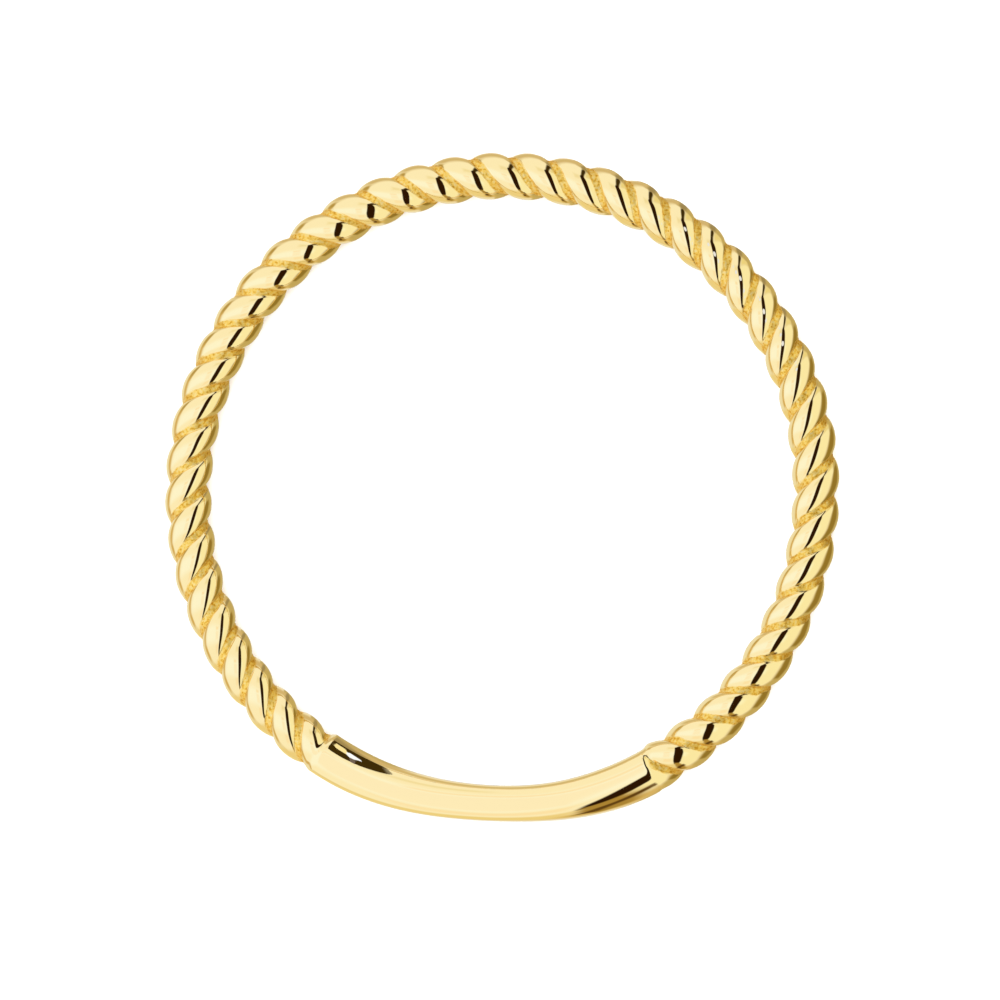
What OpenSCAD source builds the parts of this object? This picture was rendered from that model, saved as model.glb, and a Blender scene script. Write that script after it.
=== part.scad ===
// Finger ring of two gold strands twisted into a rope, closed by a smooth plain bar.
// The ring lies on its side: the hoop is in the XY plane and the finger goes through along Z.
// The origin is the centre of the finger hole, on the surface that the ring rests on.

/* [Hoop] */
// Diameter of the finger hole between the crests of the rope
finger_d = 17; // [14:0.5:22]
// Thickness of the rope across its crests
rope_d = 1.36; // [1.2:0.02:2]

/* [Twist] */
// Furrows that would fill the whole hoop; each strand goes once round in two of them
furrows = 52; // [40:2:60]
// Place of one furrow on the outer edge, in degrees from +X
furrow_at = 5.8; // [0:0.1:9]
// Part of the rope's radius at which each strand's own centre line runs
strand_centre = 0.57; // [0.5:0.01:0.6]
// Width of a strand square to its run, as a part of the rope's thickness
strand_width = 0.57; // [0.52:0.01:0.6]
// Depth of the furrows below the crests, as a part of the rope's thickness
furrow_depth = 0.11; // [0.06:0.01:0.13]

/* [Bar] */
// Direction of the middle of the bar, in degrees from +X
bar_at = 267.6; // [240:0.1:300]
// Stretch of the hoop that the bar takes, in degrees
bar_span = 62.4; // [40:0.2:90]
// Thickness of the bar at its ends, in the plane of the hoop
bar_end_t = 1.3; // [1.1:0.01:1.4]
// Thickness of the bar where it is thinnest, in the plane of the hoop
bar_thin_t = 1.04; // [0.8:0.01:1.4]
// Place where the bar is thinnest, in degrees on from its middle
bar_thin_at = 2.4; // [-10:0.1:10]
// Width of the bar along the finger, at its near end
bar_near_w = 1.36; // [1:0.01:1.4]
// Width of the bar along its narrow stretch, which is before its middle
bar_thin_w = 1.1; // [0.8:0.01:1.4]
// Width of the bar at its far end
bar_far_w = 1.34; // [1:0.01:1.4]
// Squareness of the bar's outer half at its near end; 2 is an oval and more is squarer
near_outer_square = 4.2; // [1.8:0.1:5]
// The same at its far end
far_outer_square = 1.8; // [1.6:0.1:5]
// Squareness of the bar's inner half at its near end
near_inner_square = 1.95; // [1.8:0.05:5]
// The same at its far end
far_inner_square = 3; // [1.8:0.05:5]
// Step from the rope's inner crests out to the bar's inner edge, at its near end
bar_near_inset = 0; // [0:0.01:0.15]
// The same step at its far end
bar_far_inset = 0.08; // [0:0.01:0.15]
// Stretch over which the strands sink into the bar at its near end, in degrees
near_run_out = 1.5; // [1:0.1:6]
// The same at its far end
far_run_out = 1.9; // [1:0.1:6]
// Degrees by which they reach further into its far end on its outer side
far_slant = 1; // [0:0.1:2]

/* [Facets] */
// Sections cut across the rope from one furrow to the next
cuts_per_furrow = 8; // [4:1:8]
// Sections cut across the bar
bar_cuts = 20; // [12:1:30]
// Facets over half of a strand's round, from its crest to the furrow
half_round = 3; // [2:1:3]

/* [Hidden] */

hoop_r = (finger_d + rope_d) / 2;
crest_r = rope_d / 2;
floor_r = crest_r - furrow_depth * rope_d;

// A strand is an oval tube along a helix about the rope's axis
centre_r = strand_centre * crest_r;
half_h = crest_r - centre_r;
half_w = strand_width * rope_d / 2;
// Advance of the helix for each radian that it turns, and its length for each radian
advance = 2 * hoop_r / furrows;
helix_len = norm([centre_r, advance]);
half_w_across = half_w * advance / helix_len;
half_w_along = half_w * centre_r / helix_len;

// Angle round the oval at which the strand dips under the furrow's floor
round_a = half_h * half_h - half_w_across * half_w_across;
round_b = centre_r * half_h;
round_c = centre_r * centre_r + half_w_across * half_w_across - floor_r * floor_r;
dip_angle = acos(-round_c / (round_b + sqrt(round_b * round_b - round_a * round_c)));

// Section across the rope: distance from its axis, and turn from the strand's crest
function strand_r(t) = norm([centre_r + half_h * cos(t), half_w_across * sin(t)]);
function strand_turn(t) =
    atan2(half_w_across * sin(t), centre_r + half_h * cos(t))
    + half_w_along * sin(t) / advance * 180 / PI;
strand_steps = [for (j = [-half_round:half_round]) j / half_round * dip_angle];
one_strand = concat(
    [[floor_r, -90]],
    [for (t = strand_steps) [strand_r(t), strand_turn(t)]]
);
section = concat(one_strand, [for (p = one_strand) [p[0], p[1] + 180]]);
side_count = len(section);

// The rope runs from the bar's far end round to its near end; the bar closes the hoop
rope_start = bar_at + bar_span / 2 - 360;
rope_end = bar_at - bar_span / 2;
furrow_step = 360 / furrows;
rope_cuts = ceil((rope_end - rope_start) / furrow_step * cuts_per_furrow);
ring_count = rope_cuts + bar_cuts;

// Turn of the first strand's crest about the rope's axis, 0 outwards and 90 up
turns_per_degree = furrows / 2;
function rope_turn(angle) = -turns_per_degree * (angle - furrow_at) + 90;
// In the bar the corners go on turning slowly, so that the hoop closes on whole turns
rope_twist = turns_per_degree * (rope_end - rope_start);
bar_twist = 360 * ceil(rope_twist / 360) - rope_twist;
function corner_turn(angle) =
    angle <= rope_end
    ? rope_turn(angle)
    : rope_turn(rope_end) - bar_twist * (angle - rope_end) / bar_span;

// Eases from 0 to 1 along half a wave
function ease(x) = x <= 0 ? 0 : x >= 1 ? 1 : (1 - cos(180 * x)) / 2;

// How far the strands stand out of the bar's smooth form: 1 in the rope and 0 in the bar
function strand_share(angle, turn) =
    let (to_far_end = (angle > rope_end + bar_span / 2 ? angle - 360 : angle) - rope_start)
    let (reach = far_slant * (1 + cos(turn)) / 2)
    ease(min((to_far_end + reach) / far_run_out, (rope_end - angle) / near_run_out));

// The bar thins along half a wave from each end; its inner edge steps out once, past the middle
thin_part = 0.5 + bar_thin_at / bar_span;
step_from = 0.4;
step_to = 0.8;
// Parts of the bar at which its narrow stretch begins and ends, and at which it is wide again
narrow_from = 0.346;
narrow_to = 0.474;
wide_from = 0.763;
// Parts of the bar between which the squareness of its outer half and of its inner half changes
outer_from = 0.5;
outer_to = 1;
inner_from = 0.12;
inner_to = 0.6;
function bar_part(angle) =
    ((angle > rope_end - 180 ? max(angle, rope_end) : angle + 360) - rope_end) / bar_span;
function bar_t(part) =
    let (off = part < thin_part ? (thin_part - part) / thin_part : (part - thin_part) / (1 - thin_part))
    bar_thin_t + (bar_end_t - bar_thin_t) * ease(off);
function bar_inner_r(part) =
    finger_d / 2 + bar_near_inset
    + (bar_far_inset - bar_near_inset) * ease((part - step_from) / (step_to - step_from));

function bar_w(part) =
    bar_thin_w
    + (bar_near_w - bar_thin_w) * ease((narrow_from - part) / narrow_from)
    + (bar_far_w - bar_thin_w) * ease((part - narrow_to) / (wide_from - narrow_to));
function square(part, outer) =
    outer
    ? near_outer_square + (far_outer_square - near_outer_square)
        * ease((part - outer_from) / (outer_to - outer_from))
    : near_inner_square + (far_inner_square - near_inner_square)
        * ease((part - inner_from) / (inner_to - inner_from));

function rope_point(r, turn) = [hoop_r + r * cos(turn), crest_r + r * sin(turn)];
function bar_point(part, turn) =
    let (half_t = bar_t(part) / 2, half_w = bar_w(part) / 2)
    let (power = square(part, cos(turn) > 0))
    let (r = pow(pow(abs(cos(turn)) / half_t, power) + pow(abs(sin(turn)) / half_w, power), -1 / power))
    [bar_inner_r(part) + half_t + r * cos(turn), crest_r + r * sin(turn)];
function ring_point(angle, corner) =
    let (turn = corner_turn(angle) + corner[1])
    let (share = strand_share(angle, turn))
    let (p = share * rope_point(corner[0], turn) + (1 - share) * bar_point(bar_part(angle), turn))
    [p[0] * cos(angle), p[0] * sin(angle), p[1]];

ring_angles = concat(
    [for (i = [0:rope_cuts - 1]) rope_start + (rope_end - rope_start) * i / rope_cuts],
    [for (i = [0:bar_cuts - 1]) rope_end + bar_span * i / bar_cuts]
);

// Two triangles for each patch between neighbouring sections and neighbouring corners
function corner_index(i, k) = (i % ring_count) * side_count + k % side_count;
ring_faces = [
    for (i = [0:ring_count - 1], k = [0:side_count - 1], half = [0, 1])
        half == 0
        ? [corner_index(i, k), corner_index(i, k + 1), corner_index(i + 1, k + 1)]
        : [corner_index(i, k), corner_index(i + 1, k + 1), corner_index(i + 1, k)]
];

module rope_ring() {
    color("gold")
        polyhedron(
            points = [for (angle = ring_angles, corner = section) ring_point(angle, corner)],
            faces = ring_faces
        );
}

rope_ring();
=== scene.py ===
import math

import bpy
import numpy as np
from mathutils import Matrix, Vector


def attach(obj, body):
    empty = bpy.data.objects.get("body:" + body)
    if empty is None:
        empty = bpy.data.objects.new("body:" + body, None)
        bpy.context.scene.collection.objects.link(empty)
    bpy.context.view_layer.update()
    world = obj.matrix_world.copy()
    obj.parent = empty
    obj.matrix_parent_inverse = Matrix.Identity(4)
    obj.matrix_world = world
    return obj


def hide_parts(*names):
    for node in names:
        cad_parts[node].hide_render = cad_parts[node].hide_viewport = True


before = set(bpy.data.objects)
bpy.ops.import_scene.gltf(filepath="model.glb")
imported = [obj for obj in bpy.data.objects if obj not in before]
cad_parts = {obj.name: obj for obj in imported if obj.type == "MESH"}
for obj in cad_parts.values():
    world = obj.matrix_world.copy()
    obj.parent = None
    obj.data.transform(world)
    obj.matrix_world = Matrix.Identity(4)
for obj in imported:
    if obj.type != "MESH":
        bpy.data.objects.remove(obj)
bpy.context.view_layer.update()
mm = 0.001
print("frame loaded")


# the rope ring: one casting, two oval strands twisted together and a plain bar that closes the hoop
rope = {
    "fingerHole": 17.0 * mm,      # between the crests of the rope
    "thickness": 1.36 * mm,       # across the crests
    "furrows": 52,                # as many as would fill the whole hoop
    "furrowAt": 5.8,              # degrees from +X to one furrow on the outer edge
    "strandCentre": 0.57,         # the strand's own centre line, as a part of the rope's radius
    "strandWidth": 0.57,          # the strand's width, as a part of the rope's thickness
    "furrowDepth": 0.11,          # as a part of the rope's thickness
    "roundSteps": 30,             # patches over one strand's round
    "floorSteps": 10,             # patches across one furrow's floor
    "stepsPerFurrow": 24,         # patches along the rope from one furrow to the next
}
bar = {
    "from": 236.4,                # degrees from +X to the bar's left end
    "to": 298.8,                  # and to its right end
    "thinAt": 270.0,              # and to its thinnest place
    "endThickness": 1.30 * mm,
    "thinThickness": 1.04 * mm,
    "leftWidth": 1.36 * mm,       # along the finger
    "thinWidth": 1.10 * mm,
    "rightWidth": 1.34 * mm,
    "narrows": (236.4, 258.0),    # degrees from +X between which it narrows from the left
    "widens": (266.0, 284.0),     # and between which it widens again
    "outerSquareness": (4.2, 1.8),    # of its outer half, left and right: 2 is an oval, more is squarer
    "outerChange": (0.50, 1.00),      # parts of the bar between which it changes
    "innerSquareness": (1.95, 3.0),   # the same for its inner half
    "innerChange": (0.12, 0.60),
    "inset": (0.0 * mm, 0.08 * mm),   # from the rope's inner crests out to its inner edge, left and right
    "insetChange": (0.40, 0.80),      # parts of the bar between which it steps out
    "leftRunOut": 1.5,            # degrees over which the strands sink into the bar
    "rightRunOut": 1.9,
    "rightSlant": 1.0,            # degrees by which they reach further at the right on the outer side
    "steps": 180,                 # patches along the bar
}
grain = {
    "size": 0.10 * mm,            # of the lumps that the casting leaves in the furrows
    "height": 0.013 * mm,
    "fine": 0.5,                  # size and height of the finer lumps on them, as a part of theirs
    "reach": 19.0,                # how far it runs to either side of a furrow's middle, in degrees of twist
    "shadeFlare": 14.0,                # how much further on one flank, where the grain's darker gold is painted shade over the furrows' ends
    "fade": 5.0,                  # over which it gives way to the polish
    "wobble": 5.0,                # how much its edge wanders, in the same degrees
    "wobbleSize": 0.22 * mm,
    "begins": (0.3, 0.8),         # shares of the strands between which it sets in by the bar
    "waveSize": 0.42 * mm,        # of the shallow waves that the hand polish leaves
    "waveHeight": 0.0055 * mm,
    "lattice": 64,                # corners to a side of the random lattice, which then repeats
    "seeds": {"lumps": 7, "fineLumps": 8, "waves": 9, "wobble": 10},
}


def smoothStep(x):
    # (1 - cos of x half turns) / 2, with x held between 0 and 1
    return (1 - np.cos(math.pi * np.clip(x, 0, 1))) / 2


def changeBetween(x, places, values):
    # first value + (second - first) * smoothStep of the way from the first place to the second
    share = smoothStep((x - places[0]) / (places[1] - places[0]))
    return values[0] + (values[1] - values[0]) * share


def lumps(points, size, seed):
    # seeded random heights on a cubic lattice, blended smoothly between its eight corners
    side = grain["lattice"]
    heights = np.random.RandomState(seed).uniform(-1, 1, (side, side, side))
    cell = points / size
    low = np.floor(cell).astype(int)
    part = cell - low
    part = part * part * (3 - 2 * part)
    total = np.zeros(points.shape[:-1])
    for corner in np.ndindex(2, 2, 2):
        corner = np.array(corner)
        share = np.prod(np.where(corner == 1, part, 1 - part), axis=-1)
        at = (low + corner) % side
        total += share * heights[at[..., 0], at[..., 1], at[..., 2]]
    return total


def strandShape():
    # a strand is a tube of oval section on a helix: half its height out from the rope's axis, half
    # its width square to its run, which splits into a part across the rope and a part along it
    crest = rope["thickness"] / 2
    centre = rope["strandCentre"] * crest
    hoopRadius = (rope["fingerHole"] + rope["thickness"]) / 2
    advance = 2 * hoopRadius / rope["furrows"]
    halfWidth = rope["strandWidth"] * crest
    slant = math.hypot(centre, advance)
    return {
        "crest": crest,
        "hoopRadius": hoopRadius,
        "centre": centre,
        "halfHeight": crest - centre,
        "across": halfWidth * advance / slant,
        "along": halfWidth * centre / slant,
        "advance": advance,
        "floor": crest - rope["furrowDepth"] * rope["thickness"],
    }


def ropeSection(shape):
    # distance from the rope's axis = length of (centre + height cos t, across sin t)
    # turn from the strand's crest  = angle of the same two + along sin t / advance
    # t runs over the round as far as the furrow's floor, which is a short arc at the floor's radius
    a = shape["halfHeight"] ** 2 - shape["across"] ** 2
    b = shape["centre"] * shape["halfHeight"]
    c = shape["centre"] ** 2 + shape["across"] ** 2 - shape["floor"] ** 2
    dip = math.acos(-c / (b + math.sqrt(b * b - a * c)))
    t = np.linspace(-dip, dip, rope["roundSteps"] + 1)
    outward = shape["centre"] + shape["halfHeight"] * np.cos(t)
    sideways = shape["across"] * np.sin(t)
    distance = np.hypot(outward, sideways)
    turn = np.arctan2(sideways, outward) + shape["along"] * np.sin(t) / shape["advance"]
    floorTurn = np.linspace(turn[-1], math.pi + turn[0], rope["floorSteps"] + 1)[1:-1]
    distance = np.concatenate([distance, np.full(floorTurn.shape, shape["floor"])])
    turn = np.concatenate([turn, floorTurn])
    return np.tile(distance, 2), np.concatenate([turn, turn + math.pi])


def ringStations():
    # degrees round the hoop, one to a row: even steps along the rope from the bar's right end round to
    # its left end, then even steps along the bar
    ropeStart = bar["to"] - 360
    ropeFurrows = (bar["from"] - ropeStart) * rope["furrows"] / 360
    ropeSteps = math.ceil(ropeFurrows * rope["stepsPerFurrow"])
    ropeAngles = np.linspace(ropeStart, bar["from"], ropeSteps, endpoint=False)
    barAngles = np.linspace(bar["from"], bar["to"], bar["steps"], endpoint=False)
    return np.concatenate([ropeAngles, barAngles])[:, None]


def twistAt(angles):
    # degrees = 90 - (angle - furrowAt) * half the furrows' number, so one furrow is outermost at
    # furrowAt; in the bar the grid turns on evenly until it meets the rope again
    rate = rope["furrows"] / 2
    ropeTwist = rate * (bar["from"] - (bar["to"] - 360))
    barTwist = 360 * math.ceil(ropeTwist / 360) - ropeTwist
    onRope = 90 - rate * (angles - rope["furrowAt"])
    atBar = 90 - rate * (bar["from"] - rope["furrowAt"])
    onBar = atBar - barTwist * (angles - bar["from"]) / (bar["to"] - bar["from"])
    return np.where(angles < bar["from"], onRope, onBar)


def barSurface(angles, section):
    # an oval about the bar's own centre line, of radius (|cos / half its thickness| ^ squareness
    # + |sin / half its width| ^ squareness) ^ (-1 / squareness). It thins along half a wave from
    # each end to the thinnest place
    place = np.where(angles > bar["from"] - 180, np.maximum(angles, bar["from"]), angles + 360)
    off = np.where(
        place < bar["thinAt"],
        (bar["thinAt"] - place) / (bar["thinAt"] - bar["from"]),
        (place - bar["thinAt"]) / (bar["to"] - bar["thinAt"]),
    )
    halfThick = changeBetween(off, (0, 1), (bar["thinThickness"], bar["endThickness"])) / 2
    leftExtra = changeBetween(place, bar["narrows"], (bar["leftWidth"] - bar["thinWidth"], 0))
    rightExtra = changeBetween(place, bar["widens"], (0, bar["rightWidth"] - bar["thinWidth"]))
    halfWide = (bar["thinWidth"] + leftExtra + rightExtra) / 2
    part = (place - bar["from"]) / (bar["to"] - bar["from"])
    outer = changeBetween(part, bar["outerChange"], bar["outerSquareness"])
    inner = changeBetween(part, bar["innerChange"], bar["innerSquareness"])
    power = np.where(np.cos(section) > 0, outer, inner)
    thickShare = abs(np.cos(section) / halfThick) ** power
    wideShare = abs(np.sin(section) / halfWide) ** power
    oval = (thickShare + wideShare) ** (-1 / power)
    inset = changeBetween(part, bar["insetChange"], bar["inset"])
    centreLine = rope["fingerHole"] / 2 + inset + halfThick
    return centreLine + oval * np.cos(section), oval * np.sin(section)


def strandShare(angles, section):
    # smoothStep of the degrees from the bar's end over the run-out: 1 on the rope, 0 on the bar. At
    # the right end slant * (1 + cos section) / 2 is added to them
    middle = (bar["from"] + bar["to"]) / 2
    nearer = np.where(angles > middle, angles - 360, angles)
    slant = bar["rightSlant"] * (1 + np.cos(section)) / 2
    return np.minimum(
        smoothStep((nearer + slant - (bar["to"] - 360)) / bar["rightRunOut"]),
        smoothStep((bar["from"] - nearer) / bar["leftRunOut"]),
    )


def grainAndShadeShare(points, turn, section, share):
    # 1 out to the grain's reach from the furrow's middle and 0 on the polished round; it lays on the lumps,
    # the matt finish and the furrow gold with its painted shade. The reach grows on one flank by the extra
    # reach there * sin of twice the section's angle, which spreads that painted shade, and by the wobble's
    # lumps
    aside = np.degrees(turn % math.pi) - 90
    reach = grain["reach"] + grain["shadeFlare"] * np.maximum(0, np.sign(aside) * np.sin(2 * section))
    reach = reach + grain["wobble"] * lumps(points, grain["wobbleSize"], grain["seeds"]["wobble"])
    inFurrow = smoothStep((reach - abs(aside)) / grain["fade"] + 0.5)
    return inFurrow * changeBetween(share, grain["begins"], (0, 1))


def turnedPoints(angles, out, up):
    # x, y, z = out * cos angle, out * sin angle, up
    place = np.radians(angles)
    return np.stack([out * np.cos(place), out * np.sin(place), up], axis=-1)


def ringSurface():
    # on the rope a point lies at hoop radius + distance * cos section, and distance * sin section up;
    # the strands' share blends that with the bar's surface, and the lumps and waves lift it outwards
    shape = strandShape()
    distance, turn = ropeSection(shape)
    angles = ringStations()
    section = np.radians(twistAt(angles)) + turn[None, :]
    ropeOut = shape["hoopRadius"] + distance * np.cos(section)
    ropeUp = distance * np.sin(section)
    barOut, barUp = barSurface(angles, section)
    share = strandShare(angles, section)
    out = share * ropeOut + (1 - share) * barOut
    up = shape["crest"] + share * ropeUp + (1 - share) * barUp

    points = turnedPoints(angles, out, up)
    # the grain's share, which also lays on the furrows' painted shade
    grainAndShade = grainAndShadeShare(points, turn, section, share)
    seeds = grain["seeds"]
    rough = lumps(points, grain["size"], seeds["lumps"])
    rough = rough + grain["fine"] * lumps(points, grain["size"] * grain["fine"], seeds["fineLumps"])
    waves = lumps(points, grain["waveSize"], seeds["waves"])
    lift = grain["height"] * rough * grainAndShade + grain["waveHeight"] * waves * share
    return turnedPoints(angles, out + lift * np.cos(section), up + lift * np.sin(section)), grainAndShade


def gridMesh(name, points, closedDown):
    # corner number = row * columns + column, and one four-sided face for each patch of the grid, which
    # closes on itself across, and down if asked
    rows, columns = points.shape[:2]
    index = np.arange(rows * columns).reshape(rows, columns)
    onward = np.roll(index, -1, axis=0)
    corners = [index, onward, np.roll(onward, -1, axis=1), np.roll(index, -1, axis=1)]
    patches = np.stack(corners, axis=-1)
    faces = (patches if closedDown else patches[:-1]).reshape(-1, 4)
    mesh = bpy.data.meshes.new(name)
    mesh.vertices.add(rows * columns)
    mesh.vertices.foreach_set("co", points.reshape(-1).astype(np.float32))
    mesh.loops.add(faces.size)
    mesh.loops.foreach_set("vertex_index", faces.reshape(-1).astype(np.int32))
    mesh.polygons.add(len(faces))
    mesh.polygons.foreach_set("loop_start", (np.arange(len(faces)) * 4).astype(np.int32))
    mesh.polygons.foreach_set("use_smooth", np.ones(len(faces), dtype=bool))
    mesh.update(calc_edges=True)
    mesh.validate()
    piece = bpy.data.objects.new(name, mesh)
    bpy.context.scene.collection.objects.link(piece)
    return piece


gold = {
    "polished": (0.98, 0.78, 0.40),   # colour of the crests and of the bar
    "polishedRoughness": 0.022,
    # the three furrow golds are darker and more orange than the polished gold: painted shade in the
    # recessed, grainy furrows, split into spots by the grain's own random tone
    "furrowDark": (0.76, 0.38, 0.035),
    "furrow": (1.0, 0.65, 0.125),
    "furrowLight": (1.0, 0.75, 0.29),
    "furrowRoughness": 0.50,
    "spotSize": 0.085 * mm,       # of the darker and lighter spots in the furrows
    "spotDetail": 2.0,
    "spotSteps": (0.33, 0.48, 0.68),  # heights of their noise that come out dark, plain and light
    "hazeSize": 0.30 * mm,        # of the patches where the polish is a little duller
    "hazeDetail": 3.0,
    "hazeSteps": (0.45, 0.75),    # heights of their noise between which the haze sets in
    "haze": 0.035,                # how much rougher they are
    "lineSize": 0.012 * mm,       # of the polishing lines
    "lineDetail": 1.0,
    "lineStretch": (0.12, 0.12, 1.0),  # they lie flat, so x and y count for less
    "lineHeight": 0.00004 * mm,
}


def addNoise(tree, where, size, detail):
    # smooth noise read at the given coordinates / size
    noise = tree.nodes.new("ShaderNodeTexNoise")
    noise.inputs["Scale"].default_value = 1 / size
    noise.inputs["Detail"].default_value = detail
    tree.links.new(where, noise.inputs["Vector"])
    return noise.outputs["Fac"]


def goldFinish():
    # colour and roughness = polished * (1 - furrowDepth) + matt * furrowDepth, where the matt colour is the
    # furrow gold with its painted shade
    finish = bpy.data.materials.new("yellowGold")
    finish.use_nodes = True
    tree = finish.node_tree
    nodes = tree.nodes
    links = tree.links
    shader = nodes["Principled BSDF"]
    shader.inputs["Metallic"].default_value = 1.0
    place = nodes.new("ShaderNodeTexCoord")
    grainAndShade = nodes.new("ShaderNodeAttribute")
    grainAndShade.attribute_name = "furrowDepth"

    # spots of darker and lighter gold on the grain in the furrows; the furrow gold as a whole is painted
    # shade, darker and more orange than the polish
    ramp = nodes.new("ShaderNodeValToRGB")
    dark, light = ramp.color_ramp.elements
    dark.position, plainAt, light.position = gold["spotSteps"]
    dark.color = (*gold["furrowDark"], 1)
    light.color = (*gold["furrowLight"], 1)
    ramp.color_ramp.elements.new(plainAt).color = (*gold["furrow"], 1)
    spots = addNoise(tree, place.outputs["Object"], gold["spotSize"], gold["spotDetail"])
    links.new(spots, ramp.inputs["Fac"])
    # inputs 6 and 7 are the two colours of a colour mix, and output 2 is the mixed one
    tint = nodes.new("ShaderNodeMix")
    tint.data_type = "RGBA"
    tint.inputs[6].default_value = (*gold["polished"], 1)
    links.new(grainAndShade.outputs["Fac"], tint.inputs[0])
    links.new(ramp.outputs["Color"], tint.inputs[7])
    links.new(tint.outputs[2], shader.inputs["Base Color"])

    # the polish is duller in soft patches, and the furrows are matt
    polish = nodes.new("ShaderNodeMapRange")
    polish.inputs["From Min"].default_value = gold["hazeSteps"][0]
    polish.inputs["From Max"].default_value = gold["hazeSteps"][1]
    polish.inputs["To Min"].default_value = gold["polishedRoughness"]
    polish.inputs["To Max"].default_value = gold["polishedRoughness"] + gold["haze"]
    haze = addNoise(tree, place.outputs["Object"], gold["hazeSize"], gold["hazeDetail"])
    links.new(haze, polish.inputs["Value"])
    gloss = nodes.new("ShaderNodeMapRange")
    gloss.inputs["To Max"].default_value = gold["furrowRoughness"]
    links.new(grainAndShade.outputs["Fac"], gloss.inputs["Value"])
    links.new(polish.outputs["Result"], gloss.inputs["To Min"])
    links.new(gloss.outputs["Result"], shader.inputs["Roughness"])

    # fine lines from the polishing wheel
    stretch = nodes.new("ShaderNodeVectorMath")
    stretch.operation = "MULTIPLY"
    stretch.inputs[1].default_value = gold["lineStretch"]
    links.new(place.outputs["Object"], stretch.inputs[0])
    lines = addNoise(tree, stretch.outputs["Vector"], gold["lineSize"], gold["lineDetail"])
    bump = nodes.new("ShaderNodeBump")
    bump.inputs["Distance"].default_value = gold["lineHeight"]
    links.new(lines, bump.inputs["Height"])
    links.new(bump.outputs["Normal"], shader.inputs["Normal"])
    return finish


def buildRing():
    # the ring's surface as one closed grid, with each point's share of grain and of painted furrow shade
    # kept for the finish
    points, grainAndShade = ringSurface()
    ring = gridMesh("twistedRopeRing", points, True)
    layer = ring.data.attributes.new("furrowDepth", "FLOAT", "POINT")
    layer.data.foreach_set("value", grainAndShade.reshape(-1).astype(np.float32))
    ring.data.materials.append(goldFinish())
    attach(ring, "root")
    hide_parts("rope_ring")
    print("ring built:", len(ring.data.polygons) * 2, "triangles")


buildRing()


# the camera looks down on the ring as it lies, a little off straight, and holds it where the
# photograph has it
camera = {
    "lens": 234.14,                      # mm
    "sensor": 36.0,                      # mm
    "clip": (0.01, 10.0),                # metres
    "distance": 188.39 * mm,             # from the ring's middle
    "tilt": 8.9,                         # degrees off straight down
    "tiltAxis": 64.3,                    # degrees from +X to the line that it is tilted about
    "target": (0.0, 0.0, 0.68 * mm),
    "lower": 0.26 * mm,                  # it stands this much lower, so the ring sits higher in the frame
}


def lookMatrix():
    # straight down, turned by the tilt about a level line
    axis = math.radians(camera["tiltAxis"])
    return Matrix.Rotation(math.radians(camera["tilt"]), 3, Vector((math.cos(axis), math.sin(axis), 0)))


def addCamera():
    # eye = target + distance * the way back from it - lower * its own up
    lens = bpy.data.cameras.new("camera")
    lens.lens = camera["lens"]
    lens.sensor_width = camera["sensor"]
    lens.clip_start, lens.clip_end = camera["clip"]
    eye = bpy.data.objects.new("camera", lens)
    look = lookMatrix()
    away = Vector(camera["target"]) + look.col[2] * camera["distance"] - look.col[1] * camera["lower"]
    eye.matrix_world = Matrix.Translation(away) @ look.to_4x4()
    bpy.context.scene.collection.objects.link(eye)
    bpy.context.scene.camera = eye
    print("camera set", camera["tilt"], "degrees off straight down")


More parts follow.
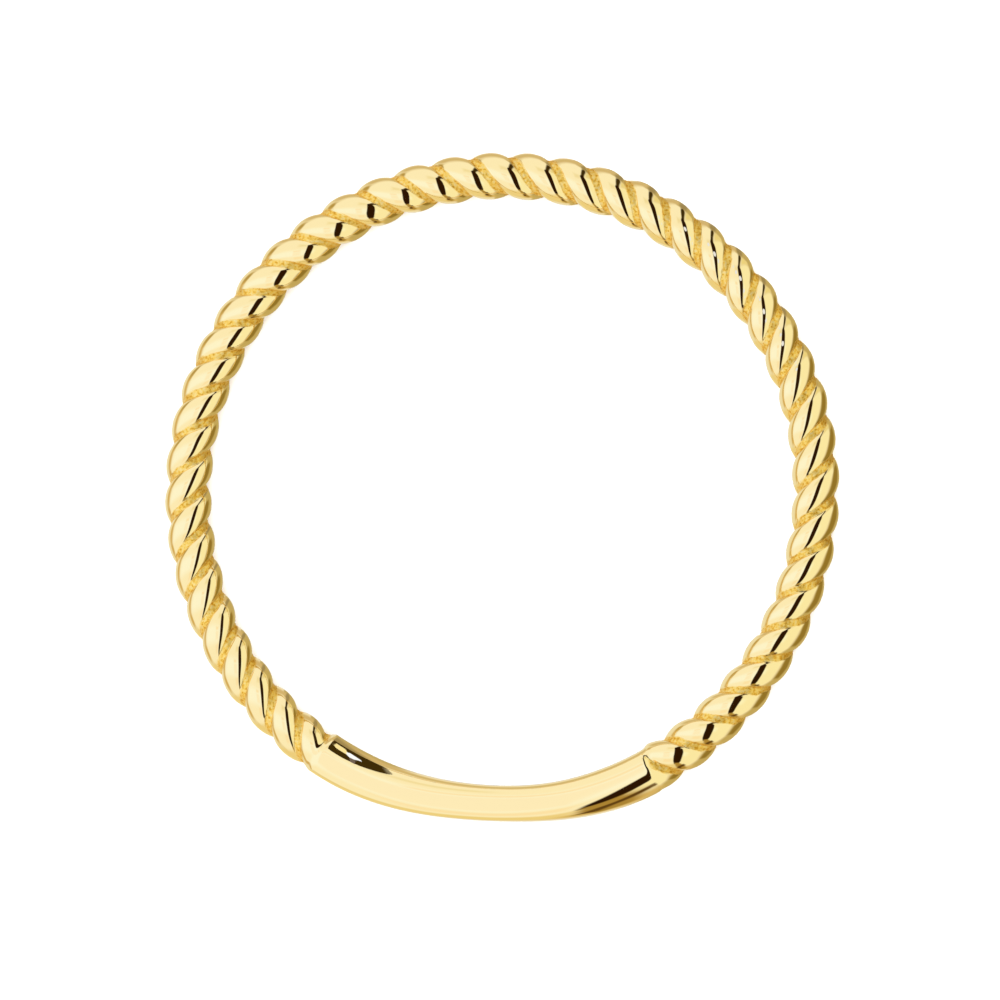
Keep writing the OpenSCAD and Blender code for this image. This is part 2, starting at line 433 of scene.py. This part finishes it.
# a round light tent of white, gold and dark cards stands about the ring. The cards are placed as a
# polished ball seen by the camera would show them: x to the right, y up, 1 at the ball's rim. Each
# lies over the ones before it, and soft is the width of its edge. A band is part of a ring about the
# ball's middle: its radius, half width, first and last angle
tent = {
    "radius": 49.5 * mm,
    "reach": (0.004, 0.9985),     # from the ball's middle nearly to its rim
    "rings": 180,
    "steps": 300,
    "lining": (0.89, 0.90, 0.83),
    "bandFade": 18.0,             # degrees over which the ends of a band fade
    "cards": {
        "rightWall": {"light": (0.56, 0.48, 0.24), "soft": 0.12, "outline": [
            (0.3, -1), (0.4, -0.6), (0.52, -0.42), (0.6, -0.1), (0.64, 0.36), (0.56, 0.52),
            (0.36, 0.66), (0.16, 0.74), (0.24, 1), (1, 1), (1, -1),
        ]},
        "rightShade": {"light": (0.30, 0.22, 0.053), "soft": 0.1, "outline": [
            (0.665, 0.4), (0.645, 0.12), (0.625, -0.1), (0.575, -0.28), (0.52, -0.44),
            (0.64, -0.5), (0.8, -0.3), (0.87, 0), (0.86, 0.26), (0.78, 0.42),
        ]},
        "leftBand": {"light": (0.67, 0.50, 0.21), "soft": 0.07, "band": (0.785, 0.05, 138, 222)},
        "leftShade": {"light": (0.48, 0.37, 0.14), "soft": 0.09, "band": (0.775, 0.055, 136, 160)},
        "topBand": {"light": (0.67, 0.57, 0.37), "soft": 0.09, "band": (0.86, 0.07, 58, 130)},
        "bottomBand": {"light": (0.69, 0.54, 0.24), "soft": 0.12, "band": (0.82, 0.085, 236, 300)},
        "whiteCard": {"light": (1.00, 1.05, 1.09), "soft": 0.05, "outline": [
            (0.08, -0.6), (0.09, 0), (0.13, 0.45), (0.22, 0.62), (0.3, 0.71), (0.1, 0.76),
            (-0.12, 0.74), (-0.36, 0.66), (-0.56, 0.5), (-0.68, 0.24), (-0.71, -0.06),
            (-0.67, -0.3), (-0.54, -0.5), (-0.34, -0.64), (-0.02, -0.66),
        ]},
        "whiteMiddle": {"light": (1.01, 1.15, 1.41), "soft": 0.22, "outline": [
            (-0.7, -0.22), (0.1, -0.2), (0.12, 0.14), (-0.45, 0.18), (-0.7, 0.12),
        ]},
        # the next four give the bar's middle its long soft streaks
        "barStreak": {"light": (1.01, 1.06, 1.17), "soft": 0.05, "outline": [
            (-0.24, -0.16), (-0.085, -0.16), (-0.085, 0.04), (-0.24, 0.04),
        ]},
        "barLine": {"light": (1.00, 0.98, 0.97), "soft": 0.05, "outline": [
            (-0.24, 0.07), (-0.1, 0.07), (-0.1, 0.14), (-0.24, 0.14),
        ]},
        "barLowerLine": {"light": (1.00, 0.97, 0.92), "soft": 0.07, "outline": [
            (-0.2, -0.46), (-0.04, -0.42), (-0.04, -0.27), (-0.2, -0.27),
        ]},
        "barUpperShade": {"light": (0.91, 0.91, 0.78), "soft": 0.12, "outline": [
            (-0.16, 0.34), (0.02, 0.36), (0.02, 0.46), (-0.14, 0.47),
        ]},
        "goldBelow": {"light": (0.87, 0.79, 0.50), "soft": 0.14, "outline": [
            (-0.8, -0.58), (-0.3, -0.62), (-0.06, -0.6), (0.07, -0.5), (0.06, -0.9), (-0.6, -0.9),
        ]},
        "rightCard": {"light": (0.99, 1.03, 0.88), "soft": 0.05, "outline": [
            (0.13, 0.44), (0.1, -0.44), (0.19, -0.6), (0.33, -0.63), (0.46, -0.46), (0.54, -0.14),
            (0.58, 0.16), (0.62, 0.34), (0.58, 0.46), (0.46, 0.49), (0.3, 0.47),
        ]},
        "rightMiddle": {"light": (1.01, 1.13, 1.14), "soft": 0.12, "outline": [
            (0.17, -0.1), (0.26, -0.14), (0.3, 0.06), (0.24, 0.14), (0.17, 0.12),
        ]},
        "goldAbove": {"light": (0.86, 0.82, 0.50), "soft": 0.06, "outline": [
            (0.28, 0.49), (0.44, 0.5), (0.56, 0.48), (0.58, 0.54), (0.44, 0.62), (0.34, 0.6),
        ]},
        "brownAbove": {"light": (0.36, 0.31, 0.19), "soft": 0.08, "outline": [
            (0.24, 0.7), (0.42, 0.66), (0.6, 0.74), (0.56, 0.84), (0.4, 0.83), (0.28, 0.78),
        ]},
        # the dark slits, which draw the dark lines on the lobes
        "upperSlit": {"light": (0.05, 0.032, 0.006), "soft": 0.04, "outline": [
            (0.16, 0.42), (0.185, 0.46), (0.21, 0.5), (0.245, 0.54), (0.29, 0.58), (0.335, 0.62),
            (0.35, 0.66), (0.33, 0.69), (0.25, 0.69), (0.21, 0.66), (0.18, 0.62), (0.15, 0.58),
            (0.125, 0.54), (0.1, 0.5), (0.05, 0.44),
        ]},
        "darkSlit": {"light": (0.026, 0.010, 0.002), "soft": 0.025, "outline": [
            (0.04, 0.44), (0.08, 0.48), (0.15, 0.48), (0.2, 0.41), (0.215, 0.34), (0.21, 0.1),
            (0.188, -0.15), (0.165, -0.38), (0.12, -0.54), (0.04, -0.54), (0.012, -0.38),
            (0.008, -0.15), (0.022, 0.1), (0.03, 0.28),
        ]},
        "brownBelow": {"light": (0.42, 0.29, 0.08), "soft": 0.06, "outline": [
            (0.04, -0.48), (0.13, -0.46), (0.25, -0.6), (0.31, -0.78), (0.2, -0.86), (0.08, -0.68),
        ]},
        "lowerSlit": {"light": (0.12, 0.065, 0.014), "soft": 0.05, "outline": [
            (0.10, -0.80), (0.135, -0.64), (0.23, -0.53), (0.28, -0.6), (0.205, -0.69), (0.185, -0.80),
        ]},
    },
}


def glowFinish(name):
    # the light it gives = its colour, evenly to all sides
    finish = bpy.data.materials.new(name)
    finish.use_nodes = True
    finish.cycles.emission_sampling = "NONE"  # the mirrors find it by themselves
    nodes = finish.node_tree.nodes
    nodes.clear()
    glow = nodes.new("ShaderNodeEmission")
    out = nodes.new("ShaderNodeOutputMaterial")
    finish.node_tree.links.new(glow.outputs["Emission"], out.inputs["Surface"])
    return finish, glow, out


def hideFromAllButMirrors(piece):
    # seen by neither the camera nor the matt floor, and without a shadow
    piece.visible_camera = False
    piece.visible_diffuse = False
    piece.visible_shadow = False


def cardShare(x, y, outline, soft):
    # distance to the nearest side of the outline, taken inwards, over the softness of the edge
    nearest = np.full(x.shape, np.inf)
    inside = np.zeros(x.shape, dtype=bool)
    for (ax, ay), (bx, by) in zip(outline, outline[1:] + outline[:1]):
        along = (x - ax) * (bx - ax) + (y - ay) * (by - ay)
        run = np.clip(along / ((bx - ax) ** 2 + (by - ay) ** 2), 0, 1)
        nearest = np.minimum(nearest, np.hypot(x - ax - run * (bx - ax), y - ay - run * (by - ay)))
        if ay != by:
            inside ^= ((ay > y) != (by > y)) & (x < (bx - ax) * (y - ay) / (by - ay) + ax)
    return smoothStep(np.where(inside, nearest, -nearest) / soft + 0.5)


def bandShare(x, y, band, soft):
    # distance inside a ring of the given radius and half width over the softness of its edge, times
    # the degrees inside its first and last angle over the fade
    radius, half, first, last = band
    around = abs((np.degrees(np.arctan2(y, x)) - (first + last) / 2 + 180) % 360 - 180)
    across = smoothStep((half - abs(np.hypot(x, y) - radius)) / soft + 0.5)
    return across * smoothStep(((last - first) / 2 - around) / tent["bandFade"] + 0.5)


def buildTent():
    # ball place (x, y) at radius s stands for the direction (2 c x, 2 c y, 2 c c - 1) in the
    # camera's own axes, where c = square root of 1 - s s
    s = np.linspace(*tent["reach"], tent["rings"])[:, None]
    around = np.linspace(0, 2 * math.pi, tent["steps"], endpoint=False)[None, :]
    x = s * np.cos(around)
    y = s * np.sin(around)
    c = np.sqrt(1 - s * s) * np.ones(x.shape)
    direction = np.stack([2 * c * x, 2 * c * y, 2 * c * c - 1], axis=-1)
    points = np.array(camera["target"]) + tent["radius"] * direction @ np.array(lookMatrix()).T

    light = np.ones((*x.shape, 4)) * (*tent["lining"], 1)
    for card in tent["cards"].values():
        if "band" in card:
            share = bandShare(x, y, card["band"], card["soft"])
        else:
            share = cardShare(x, y, card["outline"], card["soft"])
        light = light * (1 - share[..., None]) + np.array((*card["light"], 1)) * share[..., None]

    piece = gridMesh("lightTent", points, False)
    layer = piece.data.attributes.new("cardLight", "FLOAT_COLOR", "POINT")
    layer.data.foreach_set("color", light.reshape(-1).astype(np.float32))
    finish, glow, out = glowFinish("tentGlow")
    color = finish.node_tree.nodes.new("ShaderNodeAttribute")
    color.attribute_name = "cardLight"
    finish.node_tree.links.new(color.outputs["Color"], glow.inputs["Color"])
    piece.data.materials.append(finish)
    hideFromAllButMirrors(piece)
    print("tent hung:", len(tent["cards"]), "cards")


# small sheets and lamps hang close by, where only the nearest part of the ring mirrors them: four
# sheets by the bar's left end, with louvres, and five bead lamps along the upper right of the rope
closeLamps = {
    "middle": (-2.91, -4.31, 2.88),       # mm, of the slim lamp
    "toward": (0.336, 0.847, 0.413),      # from the bar to it
    "louvres": (0.78, 0.88),              # shut and open, by 1 - the ray's part along the lamp's across
    # light's colour, then corners in mm across the lamp and up it; each hangs behind the one before
    "sheets": {
        "slimLamp": ((1.02, 1.28, 2.4), [
            (0.03, 0.6), (0.1, 0.1), (0.11, -0.8), (0.03, -1.2), (-0.1, -0.95), (-0.22, -0.6),
            (-0.25, -0.2), (-0.17, 0.1), (-0.09, 0.5),
        ]),
        "creamCard": ((1.00, 1.00, 0.80), [
            (0.08, 0.12), (0.38, 0.0), (0.43, -0.5), (0.38, -1.2), (0.35, -1.9), (0.16, -1.8),
            (0.1, -1.0),
        ]),
        "paleLine": ((0.17, 0.15, 0.20), [(0.03, 2.3), (0.03, 0.5), (-0.13, 0.5), (-0.12, 2.3)]),
        "darkCard": ((0.05, 0.032, 0.006), [
            (0.1, 2.3), (0.3, 2.45), (0.7, 2.35), (0.86, 1.9), (0.8, 1.2), (0.72, 0.2), (0.6, -1.0),
            (0.5, -2.2), (0.4, -2.9), (-0.2, -2.9), (-0.38, -2.5), (-0.48, -1.8), (-0.56, -1.1),
            (-0.64, -0.5), (-0.69, 0.1), (-0.68, 0.6), (-0.58, 1.1), (-0.42, 1.6), (-0.25, 2.05),
        ]),
    },
    "behind": 0.02,                       # mm, from one sheet to the next
    "beadLight": (0.85, 1.02, 1.75),
    "beadRadius": 0.25,                   # mm
    "beadCorners": 8,
    "beads": [
        (8.50, 4.37, 2.62), (7.99, 5.27, 2.61), (7.30, 6.46, 2.56), (6.60, 7.03, 2.59),
        (5.78, 7.85, 2.56),
    ],
}


def addLouvres(tree, glow, out, across):
    # glow's share = the way of 1 - |ray . across| from shut to open, and none from behind
    nodes = tree.nodes
    links = tree.links
    direction = nodes.new("ShaderNodeCombineXYZ")
    for socket, value in zip(direction.inputs, across):
        socket.default_value = value
    slats = nodes.new("ShaderNodeLayerWeight")
    links.new(direction.outputs["Vector"], slats.inputs["Normal"])
    opened = nodes.new("ShaderNodeMapRange")
    opened.inputs["From Min"].default_value = closeLamps["louvres"][0]
    opened.inputs["From Max"].default_value = closeLamps["louvres"][1]
    links.new(slats.outputs["Facing"], opened.inputs["Value"])
    side = nodes.new("ShaderNodeNewGeometry")
    share = nodes.new("ShaderNodeMath")
    share.operation = "SUBTRACT"
    share.use_clamp = True
    links.new(opened.outputs["Result"], share.inputs[0])
    links.new(side.outputs["Backfacing"], share.inputs[1])
    clear = nodes.new("ShaderNodeBsdfTransparent")
    mix = nodes.new("ShaderNodeMixShader")
    links.new(share.outputs["Value"], mix.inputs["Fac"])
    links.new(clear.outputs["BSDF"], mix.inputs[1])
    links.new(glow.outputs["Emission"], mix.inputs[2])
    links.new(mix.outputs["Shader"], out.inputs["Surface"])


def hangLamp(name, light, corners, across=None):
    # one flat glowing face through the corners, with louvres where a direction across it is given
    mesh = bpy.data.meshes.new(name)
    mesh.from_pydata([Vector(corner) * mm for corner in corners], [], [tuple(range(len(corners)))])
    finish, glow, out = glowFinish(name + "Glow")
    glow.inputs["Color"].default_value = (*light, 1)
    if across:
        addLouvres(finish.node_tree, glow, out, across)
    mesh.materials.append(finish)
    piece = bpy.data.objects.new(name, mesh)
    hideFromAllButMirrors(piece)
    bpy.context.scene.collection.objects.link(piece)


def hangCloseLamps():
    # sheet corner = middle + a * across + b * up + its number * behind * toward, and
    # bead corner = middle + radius * (cos, sin) of its even share of a turn
    toward = Vector(closeLamps["toward"]).normalized()
    across = Vector((0, 0, 1)).cross(toward).normalized()
    up = toward.cross(across)
    for number, (name, (light, outline)) in enumerate(closeLamps["sheets"].items()):
        middle = Vector(closeLamps["middle"]) + toward * closeLamps["behind"] * number
        hangLamp(name, light, [middle + across * a + up * b for a, b in outline], across)
    turns = [2 * math.pi * k / closeLamps["beadCorners"] for k in range(closeLamps["beadCorners"])]
    rim = [Vector((math.cos(a), math.sin(a), 0)) * closeLamps["beadRadius"] for a in turns]
    for number, middle in enumerate(closeLamps["beads"]):
        hangLamp("beadLamp%d" % number, closeLamps["beadLight"], [Vector(middle) + side for side in rim])
    print("close lamps hung:", len(closeLamps["sheets"]), "sheets and", len(closeLamps["beads"]), "beads")


# the rest of the studio: pale paper under the ring, grey air and one soft lamp high above. None of
# them shows in the polish, because the tent hides the air and mirrors don't see the other two
studio = {
    "floorSide": 1.6,                     # metres
    "floorColor": (0.90, 0.90, 0.90),
    "floorRoughness": 0.9,
    "lampSide": 1.2,                      # metres
    "lampHeight": 0.7,
    "lampPower": 17.0,                    # watts
    "air": (0.5, 0.5, 0.5),
}


def buildStudio():
    # floor corners at half its side either way from the origin, and the lamp straight above it
    half = studio["floorSide"] / 2
    mesh = bpy.data.meshes.new("floor")
    corners = [(-half, -half, 0), (half, -half, 0), (half, half, 0), (-half, half, 0)]
    mesh.from_pydata(corners, [], [(0, 1, 2, 3)])
    paper = bpy.data.materials.new("palePaper")
    paper.use_nodes = True
    shader = paper.node_tree.nodes["Principled BSDF"]
    shader.inputs["Base Color"].default_value = (*studio["floorColor"], 1)
    shader.inputs["Roughness"].default_value = studio["floorRoughness"]
    shader.inputs["Specular IOR Level"].default_value = 0.0
    mesh.materials.append(paper)
    floor = bpy.data.objects.new("floor", mesh)
    bpy.context.scene.collection.objects.link(floor)
    floor.visible_glossy = False

    world = bpy.data.worlds.new("studioAir")
    world.use_nodes = True
    world.node_tree.nodes["Background"].inputs["Color"].default_value = (*studio["air"], 1)
    bpy.context.scene.world = world

    lamp = bpy.data.lights.new("floorLamp", "AREA")
    lamp.shape = "SQUARE"
    lamp.size = studio["lampSide"]
    lamp.energy = studio["lampPower"]
    high = bpy.data.objects.new("floorLamp", lamp)
    high.location = (0, 0, studio["lampHeight"])
    high.visible_glossy = False
    bpy.context.scene.collection.objects.link(high)
    print("studio set")


addCamera()
buildTent()
hangCloseLamps()
buildStudio()
bpy.context.scene.view_settings.view_transform = "Standard"
